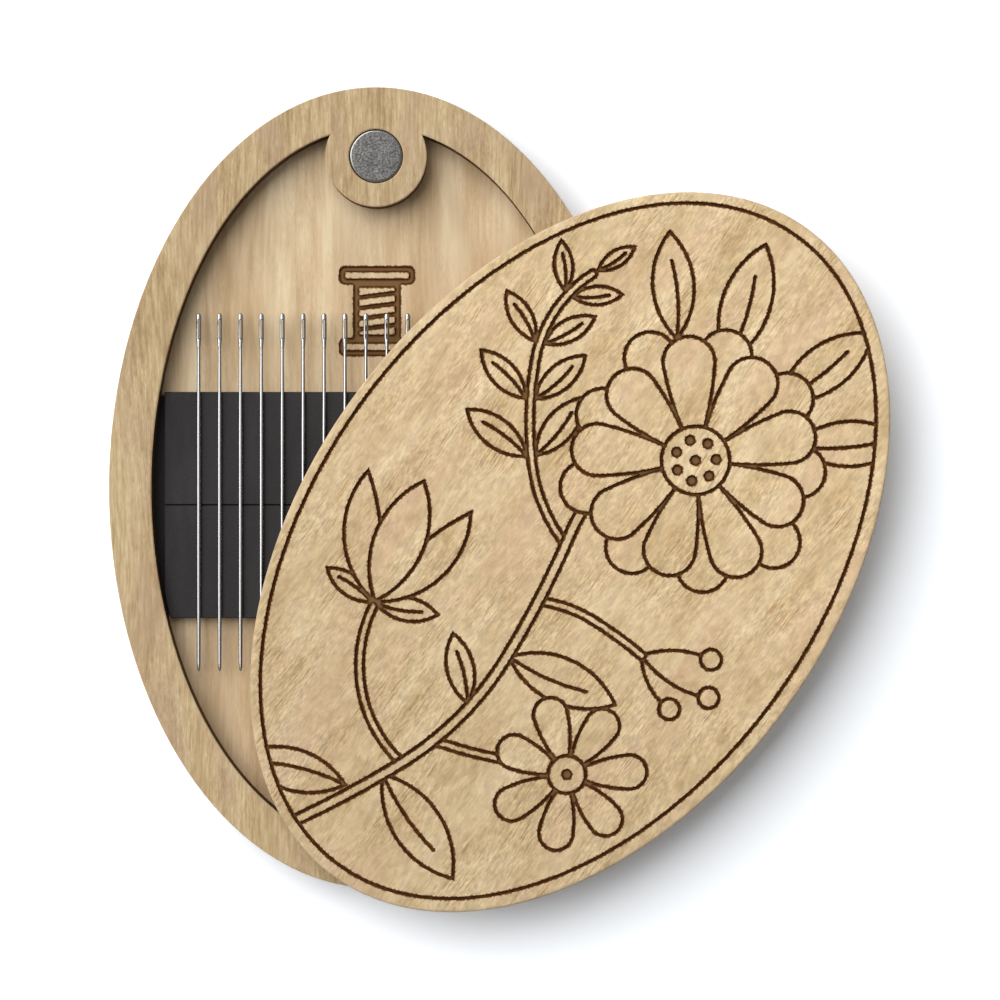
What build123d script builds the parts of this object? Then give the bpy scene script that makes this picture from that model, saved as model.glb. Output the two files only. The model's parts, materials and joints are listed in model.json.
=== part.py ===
from build123d import *
import os
from math import atan2, cos, degrees, radians, sin

# A pocket needle box of three oval plywood boards that lies on its back.
# The origin is the centre of the base board's underside. +Y runs along the oval, +Z is up.
# Sizes are in millimetres and angles in degrees.

# Boards
oval_width = 60.0
oval_length = 90.0
base_board = 3.0
rim_board = 3.0
lid_board = 3.0
rim_at_sides = 4.75
rim_at_ends = 4.5
lid_trim = 0.25
lid_cut_shift = 0.27
sanded_edge = 0.5
broken_edge = 0.12

# Disc magnets and the holes that hold them
magnet_diameter = 6.0
lid_magnet_thickness = 2.0
magnet_edge = 0.3
rim_hole_clearance = 0.05
lid_hole_clearance = 0.05
tab_wall = 2.65
upper_magnet_inset = 7.75
lower_magnet_inset = 8.55

# Lid as it lies in the photograph, turned clockwise about the lower magnets
lid_turn = 36.2

# Magnetic tape
strip_width = 12.7
strip_end_gap = 1.35
strip_thickness = 1.5
strip_seam = 0.1
strip_seam_y = -1.94
strip_wall_gap = 0.25
strip_edge = 0.08

# Needles
needle_pitch = 2.355
needle_row_margin = 3.85
needle_length = 40.3
needle_middle_y = -0.5
shaft_diameter = 0.48
taper_length = 7.0
point_length = 0.85
point_start_diameter = 0.42
point_ring_angles = (18, 40, 65, 90)
neck_diameter = 0.36
neck_length = 9.0
head_length = 4.1
head_width = 0.58
head_end_width = 0.24
head_thickness = 0.42
eye_length = 2.05
eye_width = 0.12
eye_from_end = 0.73
gutter_length = 2.3
gutter_width = 0.24
gutter_depth = 0.12
needle_rest_gap = 0.02

# Burned lines
pen = 0.38
engraving_depth = 0.3
border_inset = 1.25
emblem_pen = 0.7
emblem_depth = 0.25
emblem_y = 20.0
spool_flange_width = 8.6
spool_flange_height = 2.1
spool_height = 10.2
spool_corner = 0.7
spool_core_width = 5.4
spool_turns = 4
thread_pen = 0.5

# Lid drawing, in the lid's own frame with the lid upright and its centre at the origin
stem_width = 1.5
twig_width = 1.25
stem_points = [(-9.0, -46.0), (-1.0, -30.0), (1.5, -14.0), (-1.0, 2.0), (5.0, 16.0)]
stem_start = (0.6, 1.0)
daisy_centre = (5.5, 16.5)
daisy_radius = 15.2
daisy_petals = 9
daisy_petal_width = 6.2
daisy_front_radius = 13.7
daisy_disc_radius = 4.0
seed_radius = 0.62
seed_ring_radius = 2.3
seed_ring_count = 7
small_daisy_centre = (14.6, -20.2)
small_daisy_radius = 8.8
small_daisy_petals = 7
small_daisy_petal_width = 4.2
small_daisy_disc_radius = 2.3
petal_bulge = 0.45
petal_unevenness = 0.035
petal_phase = 2.4
small_daisy_stem = [(0.2, -26.0), (7.5, -23.2), (14.6, -20.2)]
small_daisy_stem_start = (1.0, 0.3)
tulip_root = (-14.0, -17.5)
tulip_height = 15.0
tulip_side_height = 13.8
tulip_width = 12.5
tulip_outer_belly = 3.25
tulip_inner_belly = 1.25
tulip_middle_belly = 3.0
tulip_sepals = [(7.5, 12), (6.8, 165)]
tulip_lean = 14.0
tulip_stem = [(-0.9, -30.0), (-9.5, -26.0), (-14.0, -17.0)]
tulip_stem_start = (-1.0, 0.1)
berry_stem = [(0.6, -6.5), (7.0, -4.6), (13.5, -4.6)]
berry_stem_start = (0.9, 0.5)
berry_radius = 1.35
berry_spots = [((19.5, -7.6), -0.8), ((22.3, -4.0), -0.9), ((20.0, -0.4), 0.8)]
sprig_points = [(-1.0, 0.5), (-9.0, 5.5), (-15.5, 15.0), (-16.0, 26.5)]
sprig_start = (-1.0, 0.3)
sprig_pairs = 4
sprig_first_pair = 0.3
sprig_last_pair = 0.88
sprig_leaf_length = 9.0
sprig_leaf_shrink = 0.88
sprig_leaf_angle = 46.0
upper_leaves = [((2.0, 27.0), 14.5, 108), ((9.0, 27.0), 13.5, 72)]
side_leaves = [((-4.0, 26.0), 12.5, 130), ((13.0, 24.0), 13.5, 38)]
lower_leaves = [((-4.4, -35.6), 12.5, 200), ((-2.2, -32.2), 14.5, -20)]
middle_leaves = [((1.2, -20.5), 8.5, 138), ((1.4, -13.5), 13.5, 12)]
leaf_belly_share = 0.2
leaf_rib_share = 0.72
leaf_rib_bend_share = 0.033

# Sizes worked out from the ones above
recess_half_width = oval_width / 2 - rim_at_sides
recess_half_length = oval_length / 2 - rim_at_ends
rim_bottom = base_board
lid_bottom = base_board + rim_board
lid_top = lid_bottom + lid_board
lid_half_width = oval_width / 2 - lid_trim
lid_half_length = oval_length / 2 - lid_trim
magnet_radius = magnet_diameter / 2
tab_radius = magnet_radius + rim_hole_clearance + tab_wall
upper_magnet_y = oval_length / 2 - upper_magnet_inset
lower_magnet_y = lower_magnet_inset - oval_length / 2
strip_length = 2 * (recess_half_width - strip_end_gap)
strip_top = base_board + strip_thickness
needle_count = 1 + int((strip_length - 2 * needle_row_margin) / needle_pitch)
shaft_radius = shaft_diameter / 2
needle_axis_z = strip_top + needle_rest_gap + shaft_radius
needle_point_y = needle_middle_y - needle_length / 2


def oval(half_width, half_length):
    """Upright oval face."""
    return Ellipse(half_width, half_length)


def board(shape, bottom, thickness):
    """Flat board cut from sheet, its lower face at the height given."""
    return Pos(0, 0, bottom) * extrude(shape, thickness)


def edges_at(solid, height):
    """Edges of a board that lie all in one level."""
    return solid.edges().filter_by_position(Axis.Z, height, height)


def lid_place():
    """From the lid's own frame, upright on the box, to where it lies."""
    turn = Rot(0, 0, -lid_turn)
    return Pos(0, lower_magnet_y, 0) * turn * Pos(0, -lower_magnet_y, 0)


# A form of the drawing is a pair: the area that it covers, and the burned lines in that area.


def outlined(area, line=pen):
    """Form with a burned line just inside its edge."""
    return area, area - offset(area, -line, kind=Kind.INTERSECTION)


def stroke(path, line=pen):
    """Form that is one burned line with round ends."""
    area = SlotArc(path, line)
    return area, area


def placed(form, place):
    """Form moved to a place."""
    area, lines = form
    return place * area, place * lines


def stacked(forms):
    """Forms laid over each other, the last on top, with the hidden lines taken away."""
    seen = []
    for number, (area, lines) in enumerate(forms):
        above = [upper_area for upper_area, upper_lines in forms[number + 1:]]
        seen.append(lines - above if above else lines)
    areas = [area for area, lines in forms]
    return Sketch() + areas, Sketch() + seen


def tangent_path(points, start_direction):
    """Arcs through the points, each leaving where the last one pointed."""
    arcs = []
    direction = start_direction
    for start, end in zip(points, points[1:]):
        arc = TangentArc(start, end, tangent=direction)
        arcs.append(arc)
        direction = arc % 1
    return Wire(arcs)


def stem(points, start_direction, width):
    """Double-line stem along arcs."""
    return outlined(SlotArc(tangent_path(points, start_direction), width))


def leaf(root, length, angle):
    """Pointed leaf of two arcs with a middle line, at an angle from +X."""
    belly = length * leaf_belly_share
    root_point = (0, 0)
    tip_point = (length, 0)
    upper = SagittaArc(root_point, tip_point, belly)
    lower = SagittaArc(tip_point, root_point, belly)
    blade = outlined(make_face(upper + lower))
    rib_end = (length * leaf_rib_share, 0)
    rib = stroke(SagittaArc((pen, 0), rib_end, -length * leaf_rib_bend_share))
    return placed(stacked([blade, rib]), Pos(*root) * Rot(0, 0, angle))


def leaf_on(path, along, length, angle):
    """Leaf that leaves a twig at an angle from where the twig points, starting inside its edge."""
    middle = path @ along
    heading = path % along
    leaf_heading = degrees(atan2(heading.Y, heading.X)) + angle
    start = Pos(middle.X, middle.Y) * Rot(0, 0, leaf_heading) * Pos(twig_width / 2 - pen / 2, 0)
    return leaf((start.position.X, start.position.Y), length, leaf_heading)


def petal(length, width):
    """Round-ended petal along +Y, with its root at the origin."""
    end_radius = width / 2
    shoulder_y = length - end_radius
    right = SagittaArc((0, 0), (end_radius, shoulder_y), -petal_bulge)
    end = ThreePointArc((end_radius, shoulder_y), (0, length), (-end_radius, shoulder_y))
    left = SagittaArc((-end_radius, shoulder_y), (0, 0), -petal_bulge)
    return outlined(make_face(right + end + left))


def petal_row(count, length, width, start_angle):
    """Petals all round, a little uneven, each a little over the one before."""
    step = 360 / count
    row = []
    for number in range(count):
        angle = start_angle + number * step
        reach = length * (1 + petal_unevenness * sin(number * petal_phase))
        row.append(placed(petal(reach, width), Rot(0, 0, angle)))
    return row


def flower_disc(radius):
    """Middle of a flower, with one round seed at its centre."""
    seed = Circle(seed_radius)
    return stacked([outlined(Circle(radius)), (seed, seed)])


def seed_ring():
    """Round seeds in a ring about the origin."""
    seeds = []
    for number in range(seed_ring_count):
        turn = Rot(0, 0, number * 360 / seed_ring_count)
        seeds.append(turn * Pos(0, seed_ring_radius) * Circle(seed_radius))
    area = Sketch() + seeds
    return area, area


def daisy():
    """Large open flower with two rows of petals."""
    half_step = 180 / daisy_petals
    back = petal_row(daisy_petals, daisy_radius, daisy_petal_width, half_step)
    front = petal_row(daisy_petals, daisy_front_radius, daisy_petal_width, 0)
    middle = [flower_disc(daisy_disc_radius), seed_ring()]
    return placed(stacked(back + front + middle), Pos(*daisy_centre))


def small_daisy():
    """Small open flower with one row of petals."""
    row = petal_row(small_daisy_petals, small_daisy_radius, small_daisy_petal_width, 0)
    disc = flower_disc(small_daisy_disc_radius)
    return placed(stacked(row + [disc]), Pos(*small_daisy_centre))


def tulip():
    """Closed cup of three petals over two sepals, drawn from its root upwards."""
    root = (0, 0)
    forms = [leaf(root, length, angle) for length, angle in tulip_sepals]
    for side in (-1, 1):
        tip = (side * tulip_width / 2, tulip_side_height)
        outer = SagittaArc(root, tip, -side * tulip_outer_belly)
        inner = SagittaArc(tip, root, -side * tulip_inner_belly)
        forms.append(outlined(make_face(outer + inner)))
    crown = (0, tulip_height)
    right = SagittaArc(root, crown, -tulip_middle_belly)
    left = SagittaArc(crown, root, -tulip_middle_belly)
    forms.append(outlined(make_face(right + left)))
    return placed(stacked(forms), Pos(*tulip_root) * Rot(0, 0, tulip_lean))


def sprig():
    """Twig with leaves in pairs, smaller towards its tip."""
    path = tangent_path(sprig_points, sprig_start)
    forms = [outlined(SlotArc(path, twig_width))]
    length = sprig_leaf_length
    for pair in range(sprig_pairs):
        pair_share = pair / max(sprig_pairs - 1, 1)
        along = sprig_first_pair + (sprig_last_pair - sprig_first_pair) * pair_share
        for side in (-1, 1):
            forms.append(leaf_on(path, along, length, side * sprig_leaf_angle))
        length = length * sprig_leaf_shrink
    forms.append(leaf_on(path, 1, length, 0))
    return stacked(forms)


def berry(root, end, bend):
    """Berry on a thin stalk."""
    stalk = stroke(SagittaArc(root, end, bend))
    fruit = outlined(Pos(*end) * Circle(berry_radius))
    return stacked([stalk, fruit])


def berries():
    """Twig that forks into a thin stalk for each berry."""
    forms = [berry(berry_stem[-1], end, bend) for end, bend in berry_spots]
    forms.append(stem(berry_stem, berry_stem_start, twig_width))
    return stacked(forms)


def lid_drawing():
    """All burned lines on the lid, in the lid's own frame."""
    loose_leaves = upper_leaves + side_leaves + lower_leaves + middle_leaves
    forms = [leaf(root, length, angle) for root, length, angle in loose_leaves]
    forms.append(berries())
    forms.append(sprig())
    forms.append(stem(small_daisy_stem, small_daisy_stem_start, twig_width))
    forms.append(stem(tulip_stem, tulip_stem_start, twig_width))
    forms.append(stem(stem_points, stem_start, stem_width))
    forms.append(tulip())
    forms.append(small_daisy())
    forms.append(daisy())
    area, lines = stacked(forms)
    field_half_width = lid_half_width - border_inset
    field_half_length = lid_half_length - border_inset
    field = oval(field_half_width, field_half_length)
    inside_border = oval(field_half_width - pen, field_half_length - pen)
    return (lines & field) + (field - inside_border)


def spool_emblem():
    """Thread spool drawn with burned lines, upright about the origin."""
    thread_height = spool_height - 2 * spool_flange_height
    thread = Rectangle(spool_core_width, thread_height + emblem_pen)
    forms = [outlined(thread, emblem_pen)]
    turn_step = thread_height / (spool_turns + 1)
    half_thread = (spool_core_width - emblem_pen) / 2
    rise = turn_step / 4
    for turn in range(spool_turns):
        turn_y = turn_step * (turn + 1) - thread_height / 2
        path = Line((-half_thread, turn_y - rise), (half_thread, turn_y + rise))
        forms.append(stroke(path, thread_pen))
    flange = RectangleRounded(spool_flange_width, spool_flange_height, spool_corner)
    flange_y = (spool_height - spool_flange_height) / 2
    for side in (-1, 1):
        forms.append(placed(outlined(flange, emblem_pen), Pos(0, side * flange_y)))
    area, lines = stacked(forms)
    return lines


def base_plate():
    """Back board, with the emblem burned into its face."""
    plate = board(oval(oval_width / 2, oval_length / 2), 0, base_board)
    plate = chamfer(edges_at(plate, 0) + edges_at(plate, base_board), broken_edge)
    emblem = Pos(0, emblem_y, base_board - emblem_depth) * extrude(spool_emblem(), 2 * emblem_depth)
    return plate - emblem


def rim():
    """Ring on the base board, with a round tab about each magnet."""
    outside = oval(oval_width / 2, oval_length / 2)
    ring = outside - oval(recess_half_width, recess_half_length)
    hole = Circle(magnet_radius + rim_hole_clearance)
    for magnet_y in (upper_magnet_y, lower_magnet_y):
        tab = Pos(0, magnet_y) * Circle(tab_radius)
        ring = ring + (tab & outside)
        ring = ring - Pos(0, magnet_y) * hole
    solid = board(ring, rim_bottom, rim_board)
    glued_outer_edge = edges_at(solid, rim_bottom).sort_by(Edge.length)[-1]
    return chamfer(edges_at(solid, lid_bottom) + [glued_outer_edge], broken_edge)


def lid():
    """Cover board with its burned drawing and two blind holes for magnets underneath.
    Its edge was cut a little to the right of the drawing and the holes."""
    outline = Pos(lid_cut_shift, 0) * oval(lid_half_width, lid_half_length)
    cover = board(outline, lid_bottom, lid_board)
    cover = chamfer(edges_at(cover, lid_bottom), broken_edge)
    cover = fillet(edges_at(cover, lid_top), sanded_edge)
    hole = Circle(magnet_radius + lid_hole_clearance)
    for magnet_y in (upper_magnet_y, lower_magnet_y):
        cover = cover - Pos(0, magnet_y, lid_bottom) * extrude(hole, lid_magnet_thickness)
    drawing = Pos(0, 0, lid_top - engraving_depth) * extrude(lid_drawing(), 2 * engraving_depth)
    return lid_place() * (cover - drawing)


def magnet(thickness, middle_y, bottom):
    """Disc magnet with rounded edges."""
    disc = extrude(Circle(magnet_radius), thickness)
    disc = fillet(edges_at(disc, 0) + edges_at(disc, thickness), magnet_edge)
    return Pos(0, middle_y, bottom) * disc


def strip(centre_y):
    """Length of magnetic tape, cut to the recess at its corners."""
    inside_wall = oval(recess_half_width - strip_wall_gap, recess_half_length - strip_wall_gap)
    tape = (Pos(0, centre_y) * Rectangle(strip_length, strip_width)) & inside_wall
    solid = board(tape, base_board, strip_thickness)
    return chamfer(edges_at(solid, strip_top), strip_edge)


def blunt_point():
    """Round sections of a blunt rounded point, each as how far along, width and thickness."""
    first_ring = cos(radians(point_ring_angles[0]))
    sections = []
    for angle in point_ring_angles:
        along = point_length * (first_ring - cos(radians(angle)))
        diameter = point_start_diameter * sin(radians(angle))
        sections.append((along, diameter, diameter))
    return sections


def needle():
    """Blunt sewing needle along +Y with its point at the origin and its eye open along Z."""
    head_y = needle_length - head_length
    eye_y = needle_length - eye_from_end - eye_length / 2
    head_end_y = needle_length - head_width / 2
    shoulder_width = (head_width + head_end_width) / 2
    shoulder_y = needle_length - (head_width - head_end_width) / 4
    sections = blunt_point() + [
        (taper_length, shaft_diameter, shaft_diameter),
        (head_y - neck_length, shaft_diameter, shaft_diameter),
        (head_y, neck_diameter, neck_diameter),
        (eye_y - eye_length / 2, head_width, head_thickness),
        (head_end_y, head_width, head_thickness),
        (shoulder_y, shoulder_width, head_thickness),
        (needle_length, head_end_width, head_end_width),
    ]
    rings = []
    for along, width, thickness in sections:
        plane = Plane((0, along, 0), x_dir=(1, 0, 0), z_dir=(0, 1, 0))
        rings.append(plane * Ellipse(width / 2, thickness / 2))
    solid = loft(rings, ruled=True)
    upright = Pos(0, eye_y, 0) * Rot(0, 0, 90)
    eye = upright * SlotOverall(eye_length, eye_width)
    solid = solid - extrude(eye, head_thickness, both=True)
    gutter = upright * SlotOverall(gutter_length, gutter_width)
    gutter_floor = head_thickness / 2 - gutter_depth
    groove = Pos(0, 0, gutter_floor) * extrude(gutter, head_thickness)
    return solid - groove - Rot(0, 180, 0) * groove


def needle_x(number):
    """Place of a needle across the box, counted from 0 at the left."""
    return (number - (needle_count - 1) / 2) * needle_pitch


def write(node, solid):
    """One STEP file for one node."""
    export_step(solid, os.path.join("parts", node + ".step"))


os.makedirs("parts", exist_ok=True)

# Boards
write("base_plate", base_plate())
write("rim", rim())
write("lid", lid())

# Magnets
write("base_magnet_upper", magnet(rim_board, upper_magnet_y, rim_bottom))
write("base_magnet_lower", magnet(rim_board, lower_magnet_y, rim_bottom))
write("lid_magnet_upper", lid_place() * magnet(lid_magnet_thickness, upper_magnet_y, lid_bottom))
write("lid_magnet_lower", lid_place() * magnet(lid_magnet_thickness, lower_magnet_y, lid_bottom))

# Magnetic tape
strip_step = (strip_width + strip_seam) / 2
write("upper_magnetic_strip", strip(strip_seam_y + strip_step))
write("lower_magnetic_strip", strip(strip_seam_y - strip_step))

# Needles
one_needle = needle()
for number in range(needle_count):
    place = Pos(needle_x(number), needle_point_y, needle_axis_z)
    write(f"needle_{number + 1:02d}", place * one_needle)
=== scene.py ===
import json
from math import pi, radians

import bpy
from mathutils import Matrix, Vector


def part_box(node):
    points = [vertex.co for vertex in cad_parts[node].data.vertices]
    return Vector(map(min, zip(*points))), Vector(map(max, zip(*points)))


bl_info = {
    "name": "Plywood needle box",
    "version": (1, 0, 0),
    "blender": (4, 5, 0),
    "location": "3D View > Sidebar > Needle box",
    "description": "Finishes the pieces of an oval plywood needle box and sets up its stage",
    "category": "Object",
}

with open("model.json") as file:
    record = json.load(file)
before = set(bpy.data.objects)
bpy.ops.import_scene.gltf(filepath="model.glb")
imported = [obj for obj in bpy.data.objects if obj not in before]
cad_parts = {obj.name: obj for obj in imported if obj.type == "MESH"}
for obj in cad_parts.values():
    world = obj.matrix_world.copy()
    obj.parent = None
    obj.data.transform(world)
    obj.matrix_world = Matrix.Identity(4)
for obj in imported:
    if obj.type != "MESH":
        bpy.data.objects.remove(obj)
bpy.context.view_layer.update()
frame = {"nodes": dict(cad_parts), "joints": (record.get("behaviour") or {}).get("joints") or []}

# Metres in a millimetre. The frame and the settings are in metres, and lengths named below in millimetres.
MM = 0.001


# Colours and property helpers

def linear(hex_colour):
    """An sRGB hex colour as the linear numbers that Blender works in."""
    channels = [int(hex_colour[i:i + 2], 16) / 255 for i in (0, 2, 4)]
    return [c / 12.92 if c <= 0.04045 else ((c + 0.055) / 1.055) ** 2.4 for c in channels]


def colour(name, hex_colour, description):
    """A colour that the user can change."""
    return bpy.props.FloatVectorProperty(
        name=name, description=description, subtype="COLOR", size=3, min=0.0, max=1.0,
        default=linear(hex_colour))


def length(name, millimetres, description):
    """A length that the user can change, kept in metres."""
    return bpy.props.FloatProperty(
        name=name, description=description, subtype="DISTANCE", unit="LENGTH", min=0.0,
        precision=5, default=millimetres * MM)


def share(name, value, description):
    """A share between nothing and all of something."""
    return bpy.props.FloatProperty(
        name=name, description=description, subtype="FACTOR", min=0.0, max=1.0, default=value)


# What the user can change

class BaseBoardVeneer(bpy.types.PropertyGroup):
    """The smooth pale face that shows in the recess."""
    pale: colour("Pale grain", "E5D0AB", "Lightest streaks of the veneer")
    main: colour("Main tone", "D5BA94", "Most of the veneer")
    dark: colour("Dark grain", "BEA078", "Darkest streaks of the veneer")
    blush: colour("Blush", "C8AE8C", "Faint pinkish patches")
    bands: share("Bands", 0.62, "How much the broad bands weigh")
    band_width: length("Band width", 3.6, "Width of a broad band")
    band_length: length("Band length", 26.0, "Length of a broad band")
    streaks: share("Streaks", 0.34, "How much the streaks weigh")
    streak_width: length("Streak width", 0.45, "Width of a streak")
    streak_length: length("Streak length", 6.0, "Length of a streak")
    flecks: share("Flecks", 0.07, "How much the short flecks vary in tone")
    fleck_width: length("Fleck width", 0.13, "Width of a fleck, about that of a vessel")
    fleck_length: length("Fleck length", 0.9, "Length of a fleck")
    figure: share("Figure", 0.02, "How much the soft cross figure varies in tone")
    figure_size: length("Figure size", 1.9, "Size of the soft lumps of the figure")
    figure_height: length("Figure height", 0.015, "Height of the relief that sanding left")
    pores: share("Pores", 0.10, "How dark the few long pores are")
    lengthwise_gradient: share("Toning", 0.0, "How much darker the lower end is than the middle")


class RimVeneer(bpy.types.PropertyGroup):
    """The streaky face of the rim."""
    pale: colour("Pale grain", "D3BE95", "Lightest streaks of the veneer")
    main: colour("Main tone", "BFA57C", "Most of the veneer")
    dark: colour("Dark grain", "A58A63", "Darkest streaks of the veneer")
    blush: colour("Blush", "B79A7E", "Faint pinkish patches")
    bands: share("Bands", 0.38, "How much the broad bands weigh")
    band_width: length("Band width", 2.4, "Width of a broad band")
    band_length: length("Band length", 22.0, "Length of a broad band")
    streaks: share("Streaks", 0.58, "How much the streaks weigh")
    streak_width: length("Streak width", 0.26, "Width of a streak")
    streak_length: length("Streak length", 3.0, "Length of a streak")
    flecks: share("Flecks", 0.13, "How much the short flecks vary in tone")
    fleck_width: length("Fleck width", 0.12, "Width of a fleck, about that of a vessel")
    fleck_length: length("Fleck length", 0.7, "Length of a fleck")
    figure: share("Figure", 0.04, "How much the soft cross figure varies in tone")
    figure_size: length("Figure size", 1.0, "Size of the soft lumps of the figure")
    figure_height: length("Figure height", 0.02, "Height of the relief that sanding left")
    pores: share("Pores", 0.12, "How dark the few long pores are")
    lengthwise_gradient: share("Toning", 0.0, "How much darker the lower end is than the middle")


class LidVeneer(bpy.types.PropertyGroup):
    """The warm mottled face of the lid."""
    pale: colour("Pale grain", "E8D1AA", "Lightest streaks of the veneer")
    main: colour("Main tone", "D9BE93", "Most of the veneer")
    dark: colour("Dark grain", "C0A375", "Darkest streaks of the veneer")
    blush: colour("Blush", "D7B692", "Faint pinkish patches")
    bands: share("Bands", 0.46, "How much the broad bands weigh")
    band_width: length("Band width", 3.2, "Width of a broad band")
    band_length: length("Band length", 11.0, "Length of a broad band")
    streaks: share("Streaks", 0.32, "How much the streaks weigh")
    streak_width: length("Streak width", 0.30, "Width of a streak")
    streak_length: length("Streak length", 2.4, "Length of a streak")
    flecks: share("Flecks", 0.18, "How much the short flecks vary in tone")
    fleck_width: length("Fleck width", 0.19, "Width of a fleck, about that of a vessel")
    fleck_length: length("Fleck length", 0.65, "Length of a fleck")
    figure: share("Figure", 0.10, "How much the soft cross figure varies in tone")
    figure_size: length("Figure size", 1.0, "Size of the soft lumps of the figure")
    figure_height: length("Figure height", 0.08, "Height of the relief that sanding left")
    pores: share("Pores", 0.55, "How dark the few long pores are")
    lengthwise_gradient: share("Toning", 0.13, "How much darker the lower end is than the middle")


class LaserMarks(bpy.types.PropertyGroup):
    """What the laser did to the wood, and the painted shade in the slots beside the tape."""
    char: colour("Char", "472400", "Bottom of a burned line")
    char_pale: colour("Thin char", "683D08", "Where the burn is thinner")
    char_open: colour("Open char", "7C5C38", "Middle of a wide burned stroke, where less soot lies")
    scorch: colour("Scorch", "6A3F0C", "The brown edge along a burned line")
    # Painted shade: a near-black colour for the base board in the slots beside the tape, where the rim's
    # wall shades it
    soot_and_painted_shade: colour("Soot", "0C0704", "What gathers in the slots beside the tape")
    cut_face_ply: colour("Cut face ply", "74532F", "Laser-cut edge of the two face plies")
    cut_core_ply: colour("Cut core", "553B1E", "Laser-cut edge of the core, which is end grain")
    cut_glue: colour("Cut glue line", "38240F", "The two glue lines in a cut edge")


class MetalAndTape(bpy.types.PropertyGroup):
    """Magnets, tape and needles."""
    nickel: colour("Nickel plate", "5F5E5C", "Dull nickel plate of the disc magnets")
    steel: colour("Needle steel", "A8A8A8", "Polished nickel plate of the needles")
    tape: colour("Magnetic tape", "272424", "Matt black ferrite rubber")
    grain: length("Plating grain", 0.23, "Size of the grains in the magnets' plating")


class StageSettings(bpy.types.PropertyGroup):
    """Floor, light and camera."""
    floor_size: length("Floor size", 600.0, "Side of the square floor")
    floor: colour("Floor", "E7E7E7", "Colour of the floor")
    camera_height: length("Camera height", 370.0, "Height of the camera above the floor")
    camera_right: length("Camera to the right", 13.93, "How far right of the middle the camera stands")
    camera_down: length("Camera down", 1.38, "How far below the middle the camera stands")
    light_size: length("Light size", 2200.0, "Side of the square key light")
    light_distance: length("Light distance", 1800.0, "How far away the key light stands")
    key_share: share("Key share", 0.78, "Share of the light on the floor that comes from the key light")


class NeedleBox(bpy.types.PropertyGroup):
    """All that can be changed."""
    base_board: bpy.props.PointerProperty(type=BaseBoardVeneer)
    rim: bpy.props.PointerProperty(type=RimVeneer)
    lid: bpy.props.PointerProperty(type=LidVeneer)
    laser: bpy.props.PointerProperty(type=LaserMarks)
    metal: bpy.props.PointerProperty(type=MetalAndTape)
    stage: bpy.props.PointerProperty(type=StageSettings)


# Node helper and what many nodes share

# A smooth rise, its inputs the value, where it starts and ends, and the results there, 0 and 1 if left out
SMOOTH = {"interpolation_type": "SMOOTHSTEP"}
# A blend of two colours or of two numbers, its inputs the share of the second, the first and the second
COLOURS = {"data_type": "RGBA"}
NUMBERS = {"data_type": "FLOAT"}
# Below, a span is where an effect starts and where it is full, on the value that it is read from, and a
# light is the least and the most that a pattern leaves of the colour
# Nearly all values of a noise texture lie in this span
NOISE_SPAN = (0.3, 0.7)


def add(tree, kind, inputs=(), **settings):
    """Adds a node with its settings. inputs lists what goes into its sockets in order, or maps sockets by
    name to what goes in: a value, or the node or socket that feeds it."""
    node = tree.nodes.new("ShaderNode" + kind)
    for key, value in settings.items():
        setattr(node, key, value)
    in_use = [socket for socket in node.inputs if socket.enabled]
    pairs = inputs.items() if isinstance(inputs, dict) else enumerate(inputs)
    for key, value in pairs:
        socket = in_use[key] if isinstance(key, int) else next(s for s in in_use if s.name == key)
        if isinstance(value, bpy.types.Node):
            value = next(s for s in value.outputs if s.enabled)
        if isinstance(value, bpy.types.NodeSocket):
            tree.links.new(value, socket)
        else:
            socket.default_value = value
    return node


def new_material(name):
    """An empty node material and its tree."""
    material = bpy.data.materials.new(name)
    material.use_nodes = True
    material.node_tree.nodes.clear()
    return material, material.node_tree


def rgba(values):
    """A colour property as four numbers."""
    return (*values, 1.0)


def finish_surface(tree, inputs):
    """Adds the shader and joins it to the output."""
    shader = add(tree, "BsdfPrincipled", inputs)
    add(tree, "OutputMaterial", {"Surface": shader})


def cover(node_name, material):
    """Gives a CAD piece its finish."""
    if node_name not in frame["nodes"]:
        raise RuntimeError("the frame has no piece named " + node_name)
    materials = frame["nodes"][node_name].data.materials
    materials.clear()
    materials.append(material)


def squareness(tree):
    """How squarely the surface faces up or down: 1 for a face and 0 for an upright wall."""
    normal = add(tree, "TexCoord").outputs["Normal"]
    height = add(tree, "SeparateXYZ", (normal,)).outputs["Z"]
    return add(tree, "Math", (height,), operation="ABSOLUTE")


# Plywood

# Thickness of a ply is the same in all three boards: two face veneers and a core of twice their thickness
FACE_PLY_SHARE = 0.25
# Half the width of a glue line in a cut edge, as a share of the board's thickness
GLUE_LINE_SHARE = 0.02

# Sanded wood is open and fibrous, so it mirrors half as much as a closed surface with its IOR
WOOD_IOR = 1.5
WOOD_SPECULAR = 0.25
FACE_ROUGHNESS = 0.52
CUT_ROUGHNESS = 0.85
CHAR_ROUGHNESS = 0.9

# The grain sways by this much, in waves this wide and long
GRAIN_SWAY = 4.0
SWAY_WAVE = (16.0, 40.0)
# The sums of bands and streaks that give the dark grain, the main tone and the pale grain
TONE_STOPS = (0.36, 0.50, 0.64)
# Width and length of a blushing patch, and how strong the blush gets
BLUSH_PATCH = (5.0, 17.0)
BLUSH_SPAN = (0.48, 0.72)
BLUSH_MOST = 0.6
# Width and length of a long pore, and its depth
PORE_MARK = (0.15, 4.5)
PORE_SPAN = (0.62, 0.72)
PORE_DEPTH = 0.02
# Width and length of a patch of open grain. Only there do pores show, and are flecks at full strength.
OPEN_GRAIN = (4.0, 9.0)
PORE_OPEN_SPAN = (0.47, 0.62)
FLECK_OPEN_SPAN = (0.36, 0.62)
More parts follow.
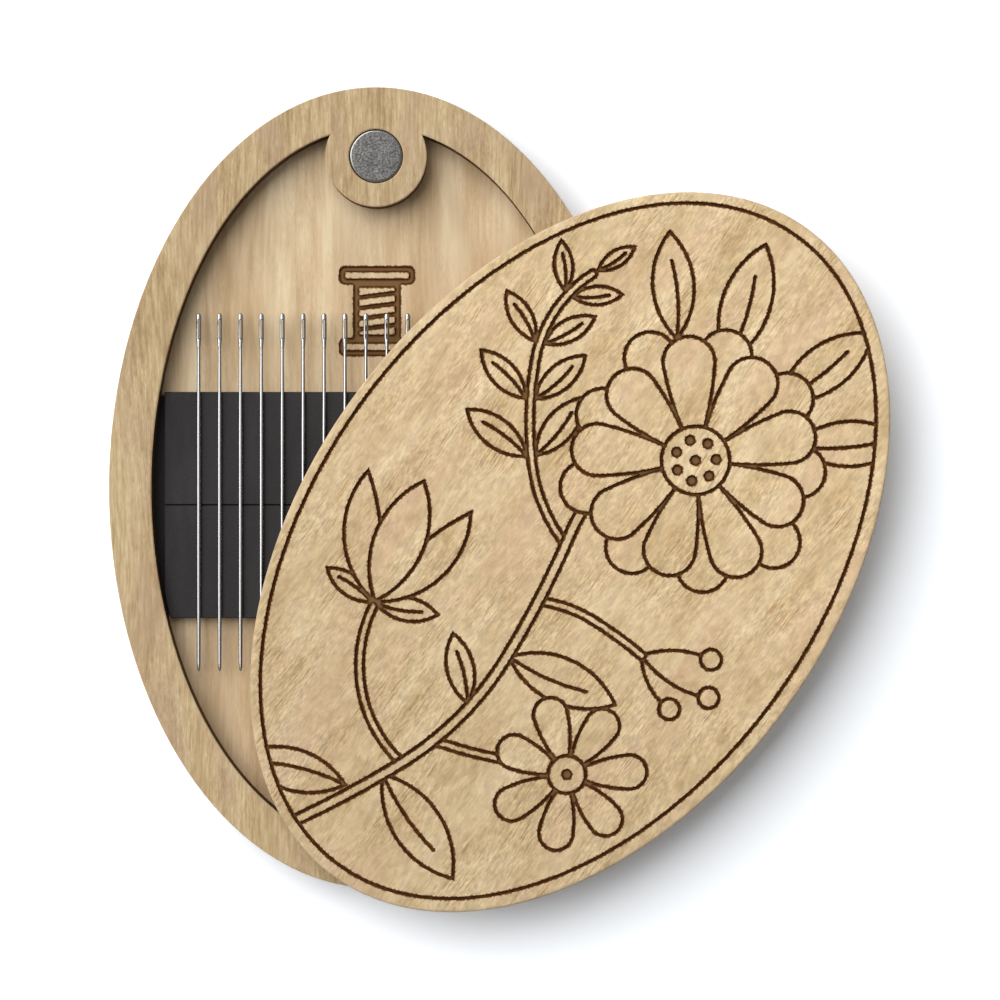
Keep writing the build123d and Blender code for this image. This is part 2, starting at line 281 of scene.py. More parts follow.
# What is left of the flecks in closed grain, and the height of the relief that sanding leaves along them
FLECK_SPAN = (0.28, 0.72)
FLECK_LEAST = 0.25
FLECK_HEIGHT = 0.008
# How much longer than wide the lumps of the figure are, and how far their outlines wander
FIGURE_STRETCH = 1.5
FIGURE_WANDER = 0.4
# The tone shifts over this stretch of a board's length, darker towards its lower end. Past it the board is
# paler, by this share as much.
LENGTHWISE_GRADIENT_SPAN = (-36.0, 24.0)
LENGTHWISE_GRADIENT_GAIN = 1 / 3

# Width and height of the laser's striations on a cut edge, and of the patches that it toasted
STRIATION = (0.16, 4.0)
STRIATION_LIGHT = (0.78, 1.18)
TOAST_PATCH = (7.0, 1.5)
TOAST_LIGHT = (0.75, 1.2)

# How squarely sanded corners and cut edges face up, and how much paler a sanded corner is
CORNER_SPAN = (0.995, 0.85)
CORNER_PALENESS = 0.15
EDGE_SPAN = (0.45, 0.10)
# Loose fibres on a sanded corner scatter the light, so it shades this much flatter than its shape, where
# it faces up and not on a wall
SOFT_CORNER = 0.8
SOFT_SPAN = (0.25, 0.60)

# Grooves lie at least this far inside the oval's edge and none is deeper than GROOVE_DEEPEST, so nothing
# below GROOVE_LIMIT is taken for one. Char starts just under a groove's lip.
GROOVE_INSET = 1.1
GROOVE_DEEPEST = 0.45
GROOVE_LIMIT = 0.55
LIP_SPAN = (0.02, 0.07)
# How far round a point the laser's scorch is looked for, and how strong it gets
SCORCH_REACH = 0.16
SCORCH_MOST = 0.9
# Wood is scorched where it fills less than this share of its surroundings, between the laser's pulses and
# at one, and fully where it fills less again by this much
SCORCH_STARTS = (0.58, 0.99)
SCORCH_FADE = 0.12
# How far apart the pulses are
PULSE_SPACING = 0.28
PULSE_SPAN = (0.40, 0.60)
# Size of the patches of thin char
THIN_PATCH = 0.625
THIN_SPAN = (0.45, 0.75)
# The middle of a wide burned stroke is lighter, where its walls fill little of what lies this near
STROKE_REACH = 0.35
STROKE_SPAN = (0.76, 1.0)

# The seats of the magnets are drilled, so their walls are clean, this far out from the magnets
SEAT_MARGIN = 0.4
# Painted shade darkens the base board in the slots beside the tape, and fades over this length
SLOT_FADE = 0.5


def lid_turn():
    """The lid's turn at rest, in radians, as its joint closes by that much."""
    swing = next(j for j in frame["joints"] if j["name"] == "lid_swing")
    return -radians(max(swing["range_deg"]))


def board_space(tree, board, turn):
    """Millimetres in a board's own frame: x across the oval, y along it, z up from its underside."""
    low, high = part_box(board)
    middle = (low + high) / 2
    return add(tree, "Mapping", {
        "Vector": add(tree, "TexCoord").outputs["Object"],
        "Location": (middle.x, middle.y, low.z),
        "Rotation": (0.0, 0.0, turn),
        "Scale": (MM, MM, MM)}, vector_type="TEXTURE")


def grain_marks(tree, where, across, along, detail=2.0, distortion=0.0):
    """Marks drawn out along the grain, this many millimetres wide and long."""
    stretched = add(tree, "VectorMath", (where, (1 / across, 1 / along, 1 / across)), operation="MULTIPLY")
    return add(tree, "TexNoise", {"Vector": stretched, "Scale": 1.0, "Detail": detail,
                                  "Distortion": distortion})


def face_veneer(tree, where, sheet, veneer):
    """Peeled birch: soft bands, streaks, short flecks, a lumpy cross figure and a few long pores.
    Gives its colour and its height in millimetres."""
    sway = grain_marks(tree, where, *SWAY_WAVE, detail=1.0)
    drift = add(tree, "VectorMath", (sway.outputs["Color"], (GRAIN_SWAY, 0.0, 0.0), sheet),
                operation="MULTIPLY_ADD")
    grain = add(tree, "VectorMath", (where, drift), operation="ADD")

    bands = grain_marks(tree, grain, veneer.band_width / MM, veneer.band_length / MM)
    streaks = grain_marks(tree, grain, veneer.streak_width / MM, veneer.streak_length / MM, detail=3.0)
    flecks = grain_marks(tree, grain, veneer.fleck_width / MM, veneer.fleck_length / MM)
    pores = grain_marks(tree, grain, *PORE_MARK, detail=0.0)
    open_patches = grain_marks(tree, grain, *OPEN_GRAIN)
    blushes = grain_marks(tree, grain, *BLUSH_PATCH)
    lump = veneer.figure_size / MM
    figure = grain_marks(tree, grain, lump, FIGURE_STRETCH * lump, distortion=FIGURE_WANDER)

    # Bands and streaks make the tone, from dark grain through the main tone to pale grain
    even = (1.0 - veneer.bands - veneer.streaks) / 2
    broad = add(tree, "Math", (bands, veneer.bands, even), operation="MULTIPLY_ADD")
    tone = add(tree, "Math", (streaks, veneer.streaks, broad), operation="MULTIPLY_ADD")
    ramp = add(tree, "ValToRGB", {"Fac": tone})
    stops = ramp.color_ramp.elements
    dark_stop, main_stop, pale_stop = TONE_STOPS
    stops[0].position, stops[0].color = dark_stop, rgba(veneer.dark)
    stops[1].position, stops[1].color = pale_stop, rgba(veneer.pale)
    stops.new(main_stop).color = rgba(veneer.main)

    blush_share = add(tree, "MapRange", (blushes, *BLUSH_SPAN, 0.0, BLUSH_MOST), **SMOOTH)
    blushed = add(tree, "Mix", (blush_share, ramp, rgba(veneer.blush)), **COLOURS)
    pore_lines = add(tree, "MapRange", (pores, *PORE_SPAN), **SMOOTH)
    pore_places = add(tree, "MapRange", (open_patches, *PORE_OPEN_SPAN, 0.0, veneer.pores), **SMOOTH)
    pore_mask = add(tree, "Math", (pore_lines, pore_places), operation="MULTIPLY")
    pored = add(tree, "Mix", (pore_mask, blushed, rgba(veneer.dark)), blend_type="MULTIPLY", **COLOURS)

    # Flecks, figure and the lengthwise gradient lighten and darken it
    fleck_span = (*FLECK_SPAN, 1.0 - veneer.flecks, 1.0 + veneer.flecks)
    full_flecks = add(tree, "MapRange", (flecks, *fleck_span), **SMOOTH)
    fleck_places = add(tree, "MapRange", (open_patches, *FLECK_OPEN_SPAN, FLECK_LEAST, 1.0), **SMOOTH)
    fleck_light = add(tree, "Mix", (fleck_places, 1.0, full_flecks), **NUMBERS)
    figure_span = (*NOISE_SPAN, 1.0 - veneer.figure, 1.0 + veneer.figure)
    figure_light = add(tree, "MapRange", (figure, *figure_span), **SMOOTH)
    along = add(tree, "SeparateXYZ", (where,)).outputs["Y"]
    lengthwise_gradient_span = (*LENGTHWISE_GRADIENT_SPAN, 1.0 - veneer.lengthwise_gradient, 1.0 + LENGTHWISE_GRADIENT_GAIN * veneer.lengthwise_gradient)
    lengthwise_gradient = add(tree, "MapRange", (along, *lengthwise_gradient_span), **SMOOTH)
    light = add(tree, "Math", (fleck_light, figure_light), operation="MULTIPLY")
    light = add(tree, "Math", (light, lengthwise_gradient), operation="MULTIPLY")
    face = add(tree, "VectorMath", (pored, light), operation="SCALE")

    relief = add(tree, "Math", (figure, veneer.figure_height / MM), operation="MULTIPLY")
    fleck_relief = add(tree, "Math", (flecks, FLECK_HEIGHT, relief), operation="MULTIPLY_ADD")
    height = add(tree, "Math", (pore_mask, -PORE_DEPTH, fleck_relief), operation="MULTIPLY_ADD")
    return face, height


def cut_edge(tree, where, depth_share, laser):
    """A laser-cut edge: toasted plies, two dark glue lines and fine upright striations."""
    plies = add(tree, "ValToRGB", {"Fac": depth_share})
    stops = plies.color_ramp.elements
    stops[0].position, stops[0].color = 0.0, rgba(laser.cut_face_ply)
    stops[1].position, stops[1].color = 1.0, rgba(laser.cut_face_ply)
    for side, inward in ((FACE_PLY_SHARE, GLUE_LINE_SHARE), (1 - FACE_PLY_SHARE, -GLUE_LINE_SHARE)):
        stops.new(side - inward).color = rgba(laser.cut_face_ply)
        stops.new(side).color = rgba(laser.cut_glue)
        stops.new(side + inward).color = rgba(laser.cut_core_ply)

    lights = []
    for (width, height), span in ((STRIATION, STRIATION_LIGHT), (TOAST_PATCH, TOAST_LIGHT)):
        drawn = add(tree, "VectorMath", (where, (1 / width, 1 / width, 1 / height)), operation="MULTIPLY")
        marks = add(tree, "TexNoise", {"Vector": drawn, "Scale": 1.0, "Detail": 2.0})
        lights.append(add(tree, "MapRange", (marks, *NOISE_SPAN, *span), **SMOOTH))
    light = add(tree, "Math", lights, operation="MULTIPLY")
    return add(tree, "VectorMath", (plies, light), operation="SCALE")


def clean_seats(tree, edge, seats, veneer):
    """A cut edge with the drilled walls about the magnets left clean."""
    magnets = [node for node in frame["nodes"] if node.startswith(seats)]
    place = add(tree, "TexCoord").outputs["Object"]
    # Starts further off than any point of the box, in metres
    nearest = 1.0
    for magnet in magnets:
        low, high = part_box(magnet)
        offset = add(tree, "VectorMath", (place, (low + high) / 2), operation="SUBTRACT")
        level = add(tree, "VectorMath", (offset, (1.0, 1.0, 0.0)), operation="MULTIPLY")
        distance = add(tree, "VectorMath", (level,), operation="LENGTH").outputs["Value"]
        nearest = add(tree, "Math", (distance, nearest), operation="MINIMUM")
    low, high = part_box(magnets[0])
    seat_radius = (high.x - low.x) / 2 + SEAT_MARGIN * MM
    in_seat = add(tree, "Math", (nearest, seat_radius), operation="LESS_THAN")
    return add(tree, "Mix", (in_seat, edge, rgba(veneer.dark)), **COLOURS)


def painted_slot_shade_mask(tree, is_edge):
    """How far a point of the base board's face lies in the slots at the two ends of the tape, where painted
    shade is laid.
    """
    place = add(tree, "TexCoord").outputs["Object"]
    along = add(tree, "SeparateXYZ", (place,)).outputs["Y"]
    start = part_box("lower_magnetic_strip")[0].y
    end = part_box("upper_magnetic_strip")[1].y
    past_start = add(tree, "MapRange", (along, start, start + SLOT_FADE * MM), **SMOOTH)
    before_end = add(tree, "MapRange", (along, end, end - SLOT_FADE * MM), **SMOOTH)
    level = add(tree, "Math", (past_start, before_end), operation="MULTIPLY")
    on_face = add(tree, "Math", (1.0, is_edge), operation="SUBTRACT", use_clamp=True)
    return add(tree, "Math", (level, on_face), operation="MULTIPLY")


def soft_normal(tree):
    """The surface's normal, turned partly upward where a sanded corner faces up."""
    normal = add(tree, "NewGeometry").outputs["Normal"]
    height = add(tree, "SeparateXYZ", (normal,)).outputs["Z"]
    amount = add(tree, "MapRange", (height, *SOFT_SPAN, 0.0, SOFT_CORNER), **SMOOTH)
    bent = add(tree, "Mix", (amount, normal, (0.0, 0.0, 1.0)), data_type="VECTOR")
    return add(tree, "VectorMath", (bent,), operation="NORMALIZE")


def near_engraving(tree, where, depth):
    """Where engraving may be: well inside the oval that all three boards share, and not too deep."""
    low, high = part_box("base_plate")
    inner_width = (high.x - low.x) / MM / 2 - GROOVE_INSET
    inner_length = (high.y - low.y) / MM / 2 - GROOVE_INSET
    above_bottom = add(tree, "MapRange", (depth, GROOVE_LIMIT, GROOVE_DEEPEST), **SMOOTH)
    within = add(tree, "VectorMath", (where, (1 / inner_width, 1 / inner_length, 0.0)),
                 operation="MULTIPLY")
    reach = add(tree, "VectorMath", (within,), operation="LENGTH").outputs["Value"]
    in_oval = add(tree, "Math", (reach, 1.0), operation="LESS_THAN")
    return add(tree, "Math", (above_bottom, in_oval), operation="MULTIPLY")


def scorched(tree, where, body, near_face, laser):
    """Wood browned beside the burned lines, a little further at each pulse of the laser."""
    near_groove = add(tree, "AmbientOcclusion", {"Distance": SCORCH_REACH * MM},
                      samples=8, inside=True, only_local=True).outputs["AO"]
    pulses = add(tree, "TexNoise", {"Vector": where, "Scale": 1 / PULSE_SPACING, "Detail": 1.0})
    starts = add(tree, "MapRange", (pulses, *PULSE_SPAN, *SCORCH_STARTS), **SMOOTH)
    full = add(tree, "Math", (starts, SCORCH_FADE), operation="SUBTRACT")
    browned = add(tree, "MapRange", (near_groove, starts, full, 0.0, SCORCH_MOST))
    mask = add(tree, "Math", (browned, near_face), operation="MULTIPLY")
    return add(tree, "Mix", (mask, body, rgba(laser.scorch)), **COLOURS)


def char_colour(tree, where, laser):
    """Char in a groove: nearly black, browner in thin patches and in the middle of a wide stroke."""
    patches = add(tree, "TexNoise", {"Vector": where, "Scale": 1 / THIN_PATCH, "Detail": 3.0})
    thin = add(tree, "MapRange", (patches, *THIN_SPAN), **SMOOTH)
    char = add(tree, "Mix", (thin, rgba(laser.char), rgba(laser.char_pale)), **COLOURS)
    from_walls = add(tree, "AmbientOcclusion", {"Distance": STROKE_REACH * MM},
                     samples=8, only_local=True).outputs["AO"]
    open_share = add(tree, "MapRange", (from_walls, *STROKE_SPAN), **SMOOTH)
    return add(tree, "Mix", (open_share, char, rgba(laser.char_open)), **COLOURS)


def birch_plywood(name, board, turn, sheet, veneer, laser, burned, seats=None):
    """Birch plywood, peeled, sanded and clear oiled, then laser cut. The eye gets a warm satin face with
    fine grain, brown cut edges and, where it is engraved, dark burned lines with a scorched border."""
    material, tree = new_material(name)
    low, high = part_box(board)
    thickness = (high.z - low.z) / MM
    where = board_space(tree, board, turn)
    height = add(tree, "SeparateXYZ", (where,)).outputs["Z"]
    depth_share = add(tree, "Math", (height, thickness), operation="DIVIDE")
    face, relief = face_veneer(tree, where, sheet, veneer)
    edge = cut_edge(tree, where, depth_share, laser)
    if seats:
        edge = clean_seats(tree, edge, seats, veneer)

    square = squareness(tree)
    sanded = add(tree, "MapRange", (square, *CORNER_SPAN, 0.0, CORNER_PALENESS), **SMOOTH)
    rounded = add(tree, "Mix", (sanded, face, rgba(veneer.pale)), **COLOURS)
    is_edge = add(tree, "MapRange", (square, *EDGE_SPAN), **SMOOTH)
    body = add(tree, "Mix", (is_edge, rounded, edge), **COLOURS)
    if burned:
        depth = add(tree, "Math", (thickness, height), operation="SUBTRACT")
        near_face = near_engraving(tree, where, depth)
        body = scorched(tree, where, body, near_face, laser)
        below_face = add(tree, "MapRange", (depth, *LIP_SPAN), **SMOOTH)
        groove = add(tree, "Math", (below_face, near_face), operation="MULTIPLY")
        body = add(tree, "Mix", (groove, body, char_colour(tree, where, laser)), **COLOURS)
        roughness = add(tree, "MapRange", (groove, 0.0, 1.0, FACE_ROUGHNESS, CHAR_ROUGHNESS), **SMOOTH)
    else:
        roughness = add(tree, "MapRange", (is_edge, 0.0, 1.0, FACE_ROUGHNESS, CUT_ROUGHNESS), **SMOOTH)
    if board == "base_plate":
        # Painted shade: the slots beside the tape are darkened to near black
        body = add(tree, "Mix", (painted_slot_shade_mask(tree, is_edge), body, rgba(laser.soot_and_painted_shade)), **COLOURS)

    bump = add(tree, "Bump", {"Strength": 1.0, "Distance": MM, "Height": relief,
                              "Normal": soft_normal(tree)})
    finish_surface(tree, {"Base Color": body, "Roughness": roughness, "Normal": bump, "IOR": WOOD_IOR,
                          "Specular IOR Level": WOOD_SPECULAR})
    return material


# Metal and tape

# The pits of a magnet's face scatter light as a matt surface does, and its rubbed corner is a mirror. Both
# are given for the face and then for the corner.
NICKEL_METALLIC = (0.6, 1.0)
NICKEL_ROUGHNESS = (0.33, 0.18)
# How squarely the rubbed corner faces up, and how much brighter than the face it is
RUBBED_SPAN = (0.995, 0.93)
CORNER_GAIN = 2.4
# The plating's mottles and pits are this many of its grains wide
MOTTLE_GRAINS = 10 / 3
PIT_GRAINS = 5 / 3
PIT_DEPTH = 0.008
GRAIN_LIGHT = (0.45, 1.55)
MOTTLE_LIGHT = (0.78, 1.22)

# The powder in the rubber breaks up its gloss
RUBBER_IOR = 1.52
RUBBER_SPECULAR = 0.25
# Size and depth of the tape's tooth, drawn coarser than it is so that it shows
TOOTH_SIZE = 0.2
TOOTH_DEPTH = 0.010
TOOTH_LIGHT = (0.86, 1.14)
# Size of the faint clouds on the tape, three in 25 mm
CLOUD_SIZE = 25 / 3
CLOUD_LIGHT = (0.88, 1.14)
# Width and length of a scuff, and the roughness of the tape off it and on it
SCUFF = (1.4, 9.0)
SCUFF_SPAN = (0.35, 0.7)
SCUFF_ROUGHNESS = (0.70, 0.60)

# Width and length of the lines that drawing left along a needle, made wider than they are so that they show
DRAWN_LINE = (0.05, 4.0)
LINE_LIGHT = (0.94, 1.03)
LINE_ROUGHNESS = (0.16, 0.24)
# How far round a point the walls of a needle's eye are looked for, to paint shade on what they shut in
EYE_REACH = 0.50
EYE_SPAN = (0.55, 0.92)
EYE_PAINTED_SHADE = (0.35, 1.0)


def nickel_plate(metal):
    """Neodymium disc, nickel plated in a barrel. The eye gets a dull grey face mottled with tiny bright
    and dark grains, and a bright crescent where the corner is rounded towards the light."""
    material, tree = new_material("Nickel plate, barrel finished")
    place = add(tree, "TexCoord").outputs["Object"]
    grains = add(tree, "TexNoise", {"Vector": place, "Scale": 1 / metal.grain, "Detail": 2.0,
                                    "Roughness": 0.6})
    mottle = MOTTLE_GRAINS * metal.grain
    mottles = add(tree, "TexNoise", {"Vector": place, "Scale": 1 / mottle, "Detail": 2.0,
                                     "Distortion": 0.5})
    pit = PIT_GRAINS * metal.grain
    cells = add(tree, "TexVoronoi", {"Vector": place, "Scale": 1 / pit})
    grain_light = add(tree, "MapRange", (grains, *NOISE_SPAN, *GRAIN_LIGHT), **SMOOTH)
    mottle_light = add(tree, "MapRange", (mottles, *NOISE_SPAN, *MOTTLE_LIGHT), **SMOOTH)
    light = add(tree, "Math", (grain_light, mottle_light), operation="MULTIPLY")

    rubbed = add(tree, "MapRange", (squareness(tree), *RUBBED_SPAN), **SMOOTH)
    worn_light = add(tree, "Mix", (rubbed, light, CORNER_GAIN), **NUMBERS)
    plate = add(tree, "VectorMath", (list(metal.nickel), worn_light), operation="SCALE")
    roughness = add(tree, "MapRange", (rubbed, 0.0, 1.0, *NICKEL_ROUGHNESS), **SMOOTH)
    metallic = add(tree, "MapRange", (rubbed, 0.0, 1.0, *NICKEL_METALLIC), **SMOOTH)
    pits = add(tree, "Math", (cells.outputs["Distance"], grains), operation="ADD")
    bump = add(tree, "Bump", {"Strength": 1.0, "Distance": PIT_DEPTH * MM, "Height": pits})
    finish_surface(tree, {"Base Color": plate, "Metallic": metallic, "Roughness": roughness,
                          "Normal": bump})
    return material


def ferrite_rubber(metal):
    """Magnetic tape, ferrite powder in calendered rubber. The eye gets a matt near-black band with a
    fine tooth and faint long scuffs."""
    material, tree = new_material("Ferrite rubber, calendered")
    place = add(tree, "TexCoord").outputs["Object"]
    where = add(tree, "VectorMath", (place, (1 / MM,) * 3), operation="MULTIPLY")
    tooth = add(tree, "TexNoise", {"Vector": where, "Scale": 1 / TOOTH_SIZE, "Detail": 3.0})
    scuff_width, scuff_length = SCUFF
    drawn = add(tree, "VectorMath", (where, (1 / scuff_width, 1 / scuff_length, 1.0)), operation="MULTIPLY")
    scuffs = add(tree, "TexNoise", {"Vector": drawn, "Scale": 1.0, "Detail": 3.0})
    cloud = add(tree, "TexNoise", {"Vector": where, "Scale": 1 / CLOUD_SIZE, "Detail": 2.0})
    tooth_light = add(tree, "MapRange", (tooth, *NOISE_SPAN, *TOOTH_LIGHT), **SMOOTH)
    cloud_light = add(tree, "MapRange", (cloud, *NOISE_SPAN, *CLOUD_LIGHT), **SMOOTH)
    light = add(tree, "Math", (tooth_light, cloud_light), operation="MULTIPLY")
    rubber = add(tree, "VectorMath", (list(metal.tape), light), operation="SCALE")
    roughness = add(tree, "MapRange", (scuffs, *SCUFF_SPAN, *SCUFF_ROUGHNESS), **SMOOTH)
    bump = add(tree, "Bump", {"Strength": 1.0, "Distance": TOOTH_DEPTH * MM, "Height": tooth})
    finish_surface(tree, {"Base Color": rubber, "Roughness": roughness, "Normal": bump,
                          "IOR": RUBBER_IOR, "Specular IOR Level": RUBBER_SPECULAR})
    return material


def needle_plate(metal):
    """Steel needles, drawn, nickel plated and polished. The eye gets bright shafts with a crisp
    highlight, fine lines along them and a needle's eye darkened with painted shade."""
    material, tree = new_material("Nickel-plated steel, polished")
    place = add(tree, "TexCoord").outputs["Object"]
    width, along = DRAWN_LINE
    where = add(tree, "VectorMath", (place, (1 / width, 1 / along, 1 / width)), operation="MULTIPLY")
    lines = add(tree, "TexNoise", {"Vector": where, "Scale": 1 / MM, "Detail": 2.0})
    line_light = add(tree, "MapRange", (lines, *NOISE_SPAN, *LINE_LIGHT), **SMOOTH)
    # Painted shade: the steel's colour darkens where the walls of the eye close round a point
    openness = add(tree, "AmbientOcclusion", {"Distance": EYE_REACH * MM},
                   samples=16, only_local=True).outputs["AO"]
    eye_painted_shade = add(tree, "MapRange", (openness, *EYE_SPAN, *EYE_PAINTED_SHADE), **SMOOTH)
    light = add(tree, "Math", (line_light, eye_painted_shade), operation="MULTIPLY")
    plate = add(tree, "VectorMath", (list(metal.steel), light), operation="SCALE")
    roughness = add(tree, "MapRange", (lines, *NOISE_SPAN, *LINE_ROUGHNESS), **SMOOTH)
    finish_surface(tree, {"Base Color": plate, "Metallic": 1.0, "Roughness": roughness})
    return material


# Stage

# The photograph's square frame is this wide where the rim's face lies
VIEW_WIDTH = 112.3
# Width of the camera's sensor, which the lens is worked out for
SENSOR = 36.0
# The camera sees nothing nearer than this
NEAREST_SEEN = 10.0

# A hair below the base board, so that the two don't share a plane
FLOOR_LEVEL = -0.02
# The key light comes from the upper left
KEY_FROM = Vector((-0.70, 0.60, 1.00)).normalized()
# The key light is summed up over this many points each way
LAMP_STEPS = 20
# Light on the floor, where 1 makes a colour render as it is written
LIGHT_LEVEL = 1.0
# How bright the open floor is to the camera, where 1 is white. Its shadow is a little blue.
FLOOR_EXPOSED = (1.34, 1.38, 1.43, 1.0)
# What a mirror sees of the studio: bright about the key light, and dark away from it
BRIGHT_SIDE = 0.92
DARK_SIDE = 0.20


def make_floor(context, stage):
    """A plain pale sheet that keeps the object's shadow. To the camera, and in mirrors, it is
    over-exposed as on a studio table, so that it comes out white away from the object."""
    half = stage.floor_size / 2
    mesh = bpy.data.meshes.new("floor")
    corners = [(-half, -half), (half, -half), (half, half), (-half, half)]
    mesh.from_pydata([(x, y, FLOOR_LEVEL * MM) for x, y in corners], [], [(0, 1, 2, 3)])
    floor = bpy.data.objects.new("floor", mesh)
    context.scene.collection.objects.link(floor)

    material, tree = new_material("Matt white paper")
    path = add(tree, "LightPath").outputs
    seen = add(tree, "Math", (path["Is Camera Ray"], path["Is Glossy Ray"]), operation="MAXIMUM")
    seen = add(tree, "Math", (seen, path["Is Transmission Ray"]), operation="MAXIMUM")
    shade = add(tree, "Mix", (seen, rgba(stage.floor), FLOOR_EXPOSED), **COLOURS)
    paper = add(tree, "BsdfDiffuse", {"Color": shade})
    add(tree, "OutputMaterial", {"Surface": paper})
    mesh.materials.append(material)


def lamp_reach(stage):
    """How much of the key light's power reaches the floor, averaged over points all over the lamp,
    because its far side lies lower and further off."""
    across = KEY_FROM.orthogonal().normalized()
    along = KEY_FROM.cross(across)
    steps = [(n + 0.5) / LAMP_STEPS - 0.5 for n in range(LAMP_STEPS)]
    total = 0.0
    for u in steps:
        for v in steps:
            point = KEY_FROM * stage.light_distance + (across * u + along * v) * stage.light_size
            total += point.z * point.dot(KEY_FROM) / point.length ** 4
    return total / LAMP_STEPS ** 2


def make_light(context, stage):
    """One large soft key light from the upper left, and an even sky for the rest."""
    world = bpy.data.worlds.new("studio")
    world.use_nodes = True
    tree = world.node_tree
    tree.nodes.clear()
    path = add(tree, "LightPath").outputs
    fill = LIGHT_LEVEL * (1.0 - stage.key_share)
    towards = add(tree, "TexCoord").outputs["Generated"]
    towards_key = add(tree, "VectorMath", (towards, KEY_FROM), operation="DOT_PRODUCT").outputs["Value"]
    room = add(tree, "MapRange", (towards_key, 0.0, 1.0, DARK_SIDE, BRIGHT_SIDE))
    mirrored = add(tree, "Math", (path["Is Glossy Ray"], path["Is Transmission Ray"]), operation="MAXIMUM")
    seen = add(tree, "Mix", (mirrored, fill, room), **NUMBERS)
    strength = add(tree, "Mix", (path["Is Camera Ray"], seen, 1.0), **NUMBERS)
    sky_light = add(tree, "Background", {"Color": (1.0, 1.0, 1.0, 1.0), "Strength": strength})
    add(tree, "OutputWorld", {"Surface": sky_light})
    context.scene.world = world

    lamp = bpy.data.lights.new("key_light", "AREA")
    lamp.shape = "SQUARE"
    lamp.size = stage.light_size
    lamp.energy = LIGHT_LEVEL * stage.key_share * pi ** 2 / lamp_reach(stage)
    key = bpy.data.objects.new("key_light", lamp)
    key.location = KEY_FROM * stage.light_distance
    key.rotation_euler = KEY_FROM.to_track_quat("Z", "Y").to_euler()
    context.scene.collection.objects.link(key)


def make_camera(context, stage):
    """Straight down from a little to the right of the box's middle."""
    view = bpy.data.cameras.new("camera")
    view.sensor_width = SENSOR
    rim_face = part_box("rim")[1].z
    view.lens = SENSOR * (stage.camera_height - rim_face) / (VIEW_WIDTH * MM)
    view.clip_start = NEAREST_SEEN * MM
    camera = bpy.data.objects.new("camera", view)
    camera.location = (stage.camera_right, -stage.camera_down, stage.camera_height)
    context.scene.collection.objects.link(camera)
    bpy.context.scene.camera = camera


# Operators, one for each piece or group of like pieces, and one for the stage

# Where in the veneer log each board's face comes from, in millimetres, so that no two have the same grain
BASE_SHEET = (31.0, 7.0, 0.0)
RIM_SHEET = (83.0, 19.0, 0.0)
LID_SHEET = (11.0, 53.0, 0.0)


class NEEDLEBOX_OT_base_board(bpy.types.Operator):
    """Finish the base board"""
    bl_idname = "needlebox.base_board"
    bl_label = "Base board"

    def execute(self, context):
        box = context.scene.needle_box
        cover("base_plate", birch_plywood(
            "Birch plywood, sanded and oiled, base board", "base_plate", 0.0, BASE_SHEET,
            box.base_board, box.laser, burned=True))
        return {"FINISHED"}


class NEEDLEBOX_OT_rim(bpy.types.Operator):
    """Finish the rim"""
    bl_idname = "needlebox.rim"
    bl_label = "Rim"

    def execute(self, context):
        box = context.scene.needle_box
        cover("rim", birch_plywood(
            "Birch plywood, sanded and oiled, rim", "rim", 0.0, RIM_SHEET,
            box.rim, box.laser, burned=False, seats="base_magnet_"))
        return {"FINISHED"}


class NEEDLEBOX_OT_lid(bpy.types.Operator):
    """Finish the lid"""
    bl_idname = "needlebox.lid"
    bl_label = "Lid"

    def execute(self, context):
        box = context.scene.needle_box
        cover("lid", birch_plywood(
            "Birch plywood, sanded and oiled, lid", "lid", lid_turn(), LID_SHEET,
            box.lid, box.laser, burned=True, seats="lid_magnet_"))
        return {"FINISHED"}


class NEEDLEBOX_OT_magnets(bpy.types.Operator):
    """Finish the disc magnets"""
    bl_idname = "needlebox.magnets"
    bl_label = "Magnets"

    def execute(self, context):
        material = nickel_plate(context.scene.needle_box.metal)
        for name in sorted(n for n in frame["nodes"] if "magnet_" in n):
            cover(name, material)
        return {"FINISHED"}


class NEEDLEBOX_OT_tape(bpy.types.Operator):
    """Finish the magnetic tape"""
    bl_idname = "needlebox.tape"
    bl_label = "Magnetic tape"

    def execute(self, context):
        material = ferrite_rubber(context.scene.needle_box.metal)
        for name in ("upper_magnetic_strip", "lower_magnetic_strip"):
            cover(name, material)
        return {"FINISHED"}


class NEEDLEBOX_OT_needles(bpy.types.Operator):
    """Finish the needles"""
    bl_idname = "needlebox.needles"
    bl_label = "Needles"

    def execute(self, context):
        material = needle_plate(context.scene.needle_box.metal)
        needles = sorted(n for n in frame["nodes"] if n.startswith("needle_"))
        if not needles:
            raise RuntimeError("the frame has no needles")
        for name in needles:
            cover(name, material)
        return {"FINISHED"}


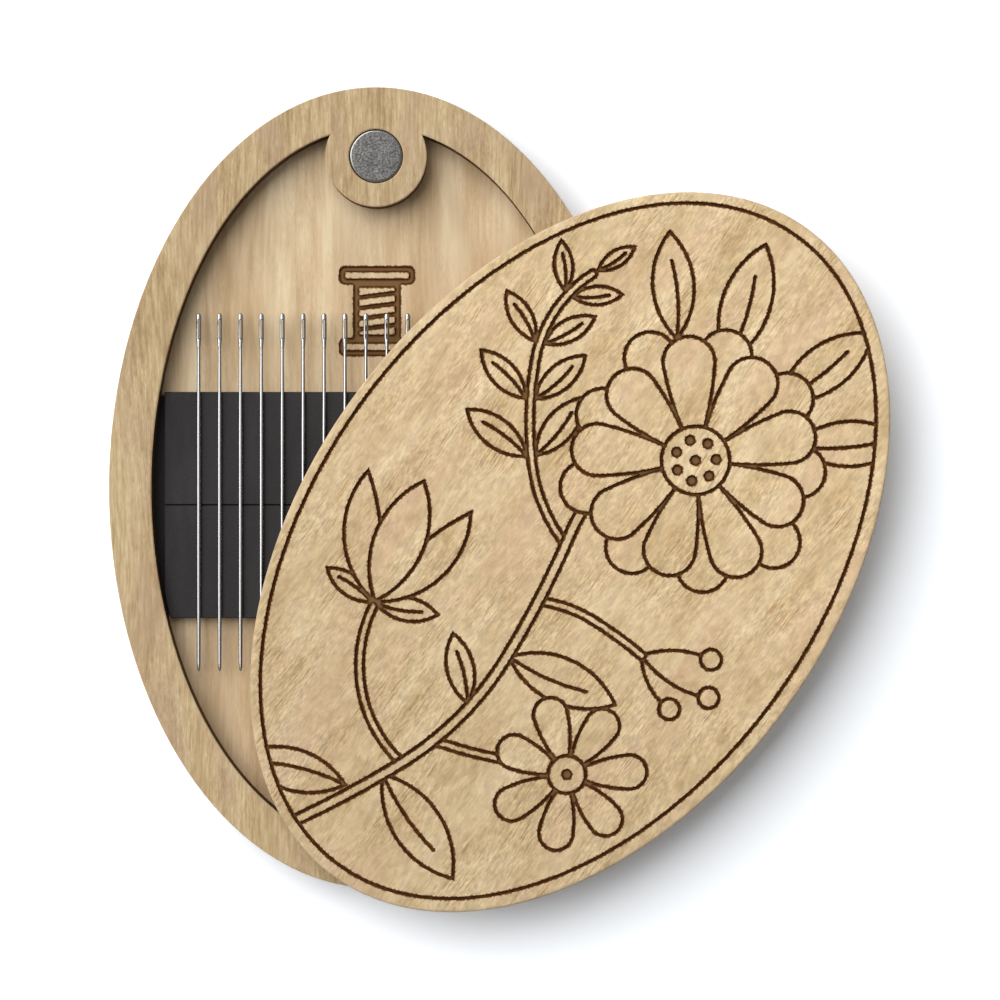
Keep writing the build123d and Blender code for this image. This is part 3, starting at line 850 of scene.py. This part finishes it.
class NEEDLEBOX_OT_stage(bpy.types.Operator):
    """Set up the floor, the light and the camera"""
    bl_idname = "needlebox.stage"
    bl_label = "Stage"

    def execute(self, context):
        stage = context.scene.needle_box.stage
        make_floor(context, stage)
        make_light(context, stage)
        make_camera(context, stage)
        context.scene.view_settings.view_transform = "Standard"
        return {"FINISHED"}


class NEEDLEBOX_PT_pieces(bpy.types.Panel):
    """Lists the pieces of the needle box"""
    bl_label = "Needle box"
    bl_idname = "NEEDLEBOX_PT_pieces"
    bl_space_type = "VIEW_3D"
    bl_region_type = "UI"
    bl_category = "Needle box"

    def draw(self, context):
        box = context.scene.needle_box
        for operator in OPERATORS:
            self.layout.operator(operator.bl_idname, text=operator.bl_label)
        for group in ("base_board", "rim", "lid", "laser", "metal", "stage"):
            column = self.layout.column(heading=group.replace("_", " "))
            settings = getattr(box, group)
            for name in settings.__annotations__:
                column.prop(settings, name)


GROUPS = (BaseBoardVeneer, RimVeneer, LidVeneer, LaserMarks, MetalAndTape, StageSettings, NeedleBox)
OPERATORS = (
    NEEDLEBOX_OT_base_board, NEEDLEBOX_OT_rim, NEEDLEBOX_OT_lid, NEEDLEBOX_OT_magnets,
    NEEDLEBOX_OT_tape, NEEDLEBOX_OT_needles, NEEDLEBOX_OT_stage)


def register():
    for cls in GROUPS + OPERATORS + (NEEDLEBOX_PT_pieces,):
        bpy.utils.register_class(cls)
    bpy.types.Scene.needle_box = bpy.props.PointerProperty(type=NeedleBox)


def unregister():
    del bpy.types.Scene.needle_box
    for cls in reversed(GROUPS + OPERATORS + (NEEDLEBOX_PT_pieces,)):
        bpy.utils.unregister_class(cls)


def main():
    """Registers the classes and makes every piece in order."""
    register()
    bpy.ops.needlebox.base_board()
    bpy.ops.needlebox.rim()
    bpy.ops.needlebox.lid()
    bpy.ops.needlebox.magnets()
    bpy.ops.needlebox.tape()
    bpy.ops.needlebox.needles()
    bpy.ops.needlebox.stage()
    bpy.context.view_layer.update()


if __name__ == "__main__":
    main()
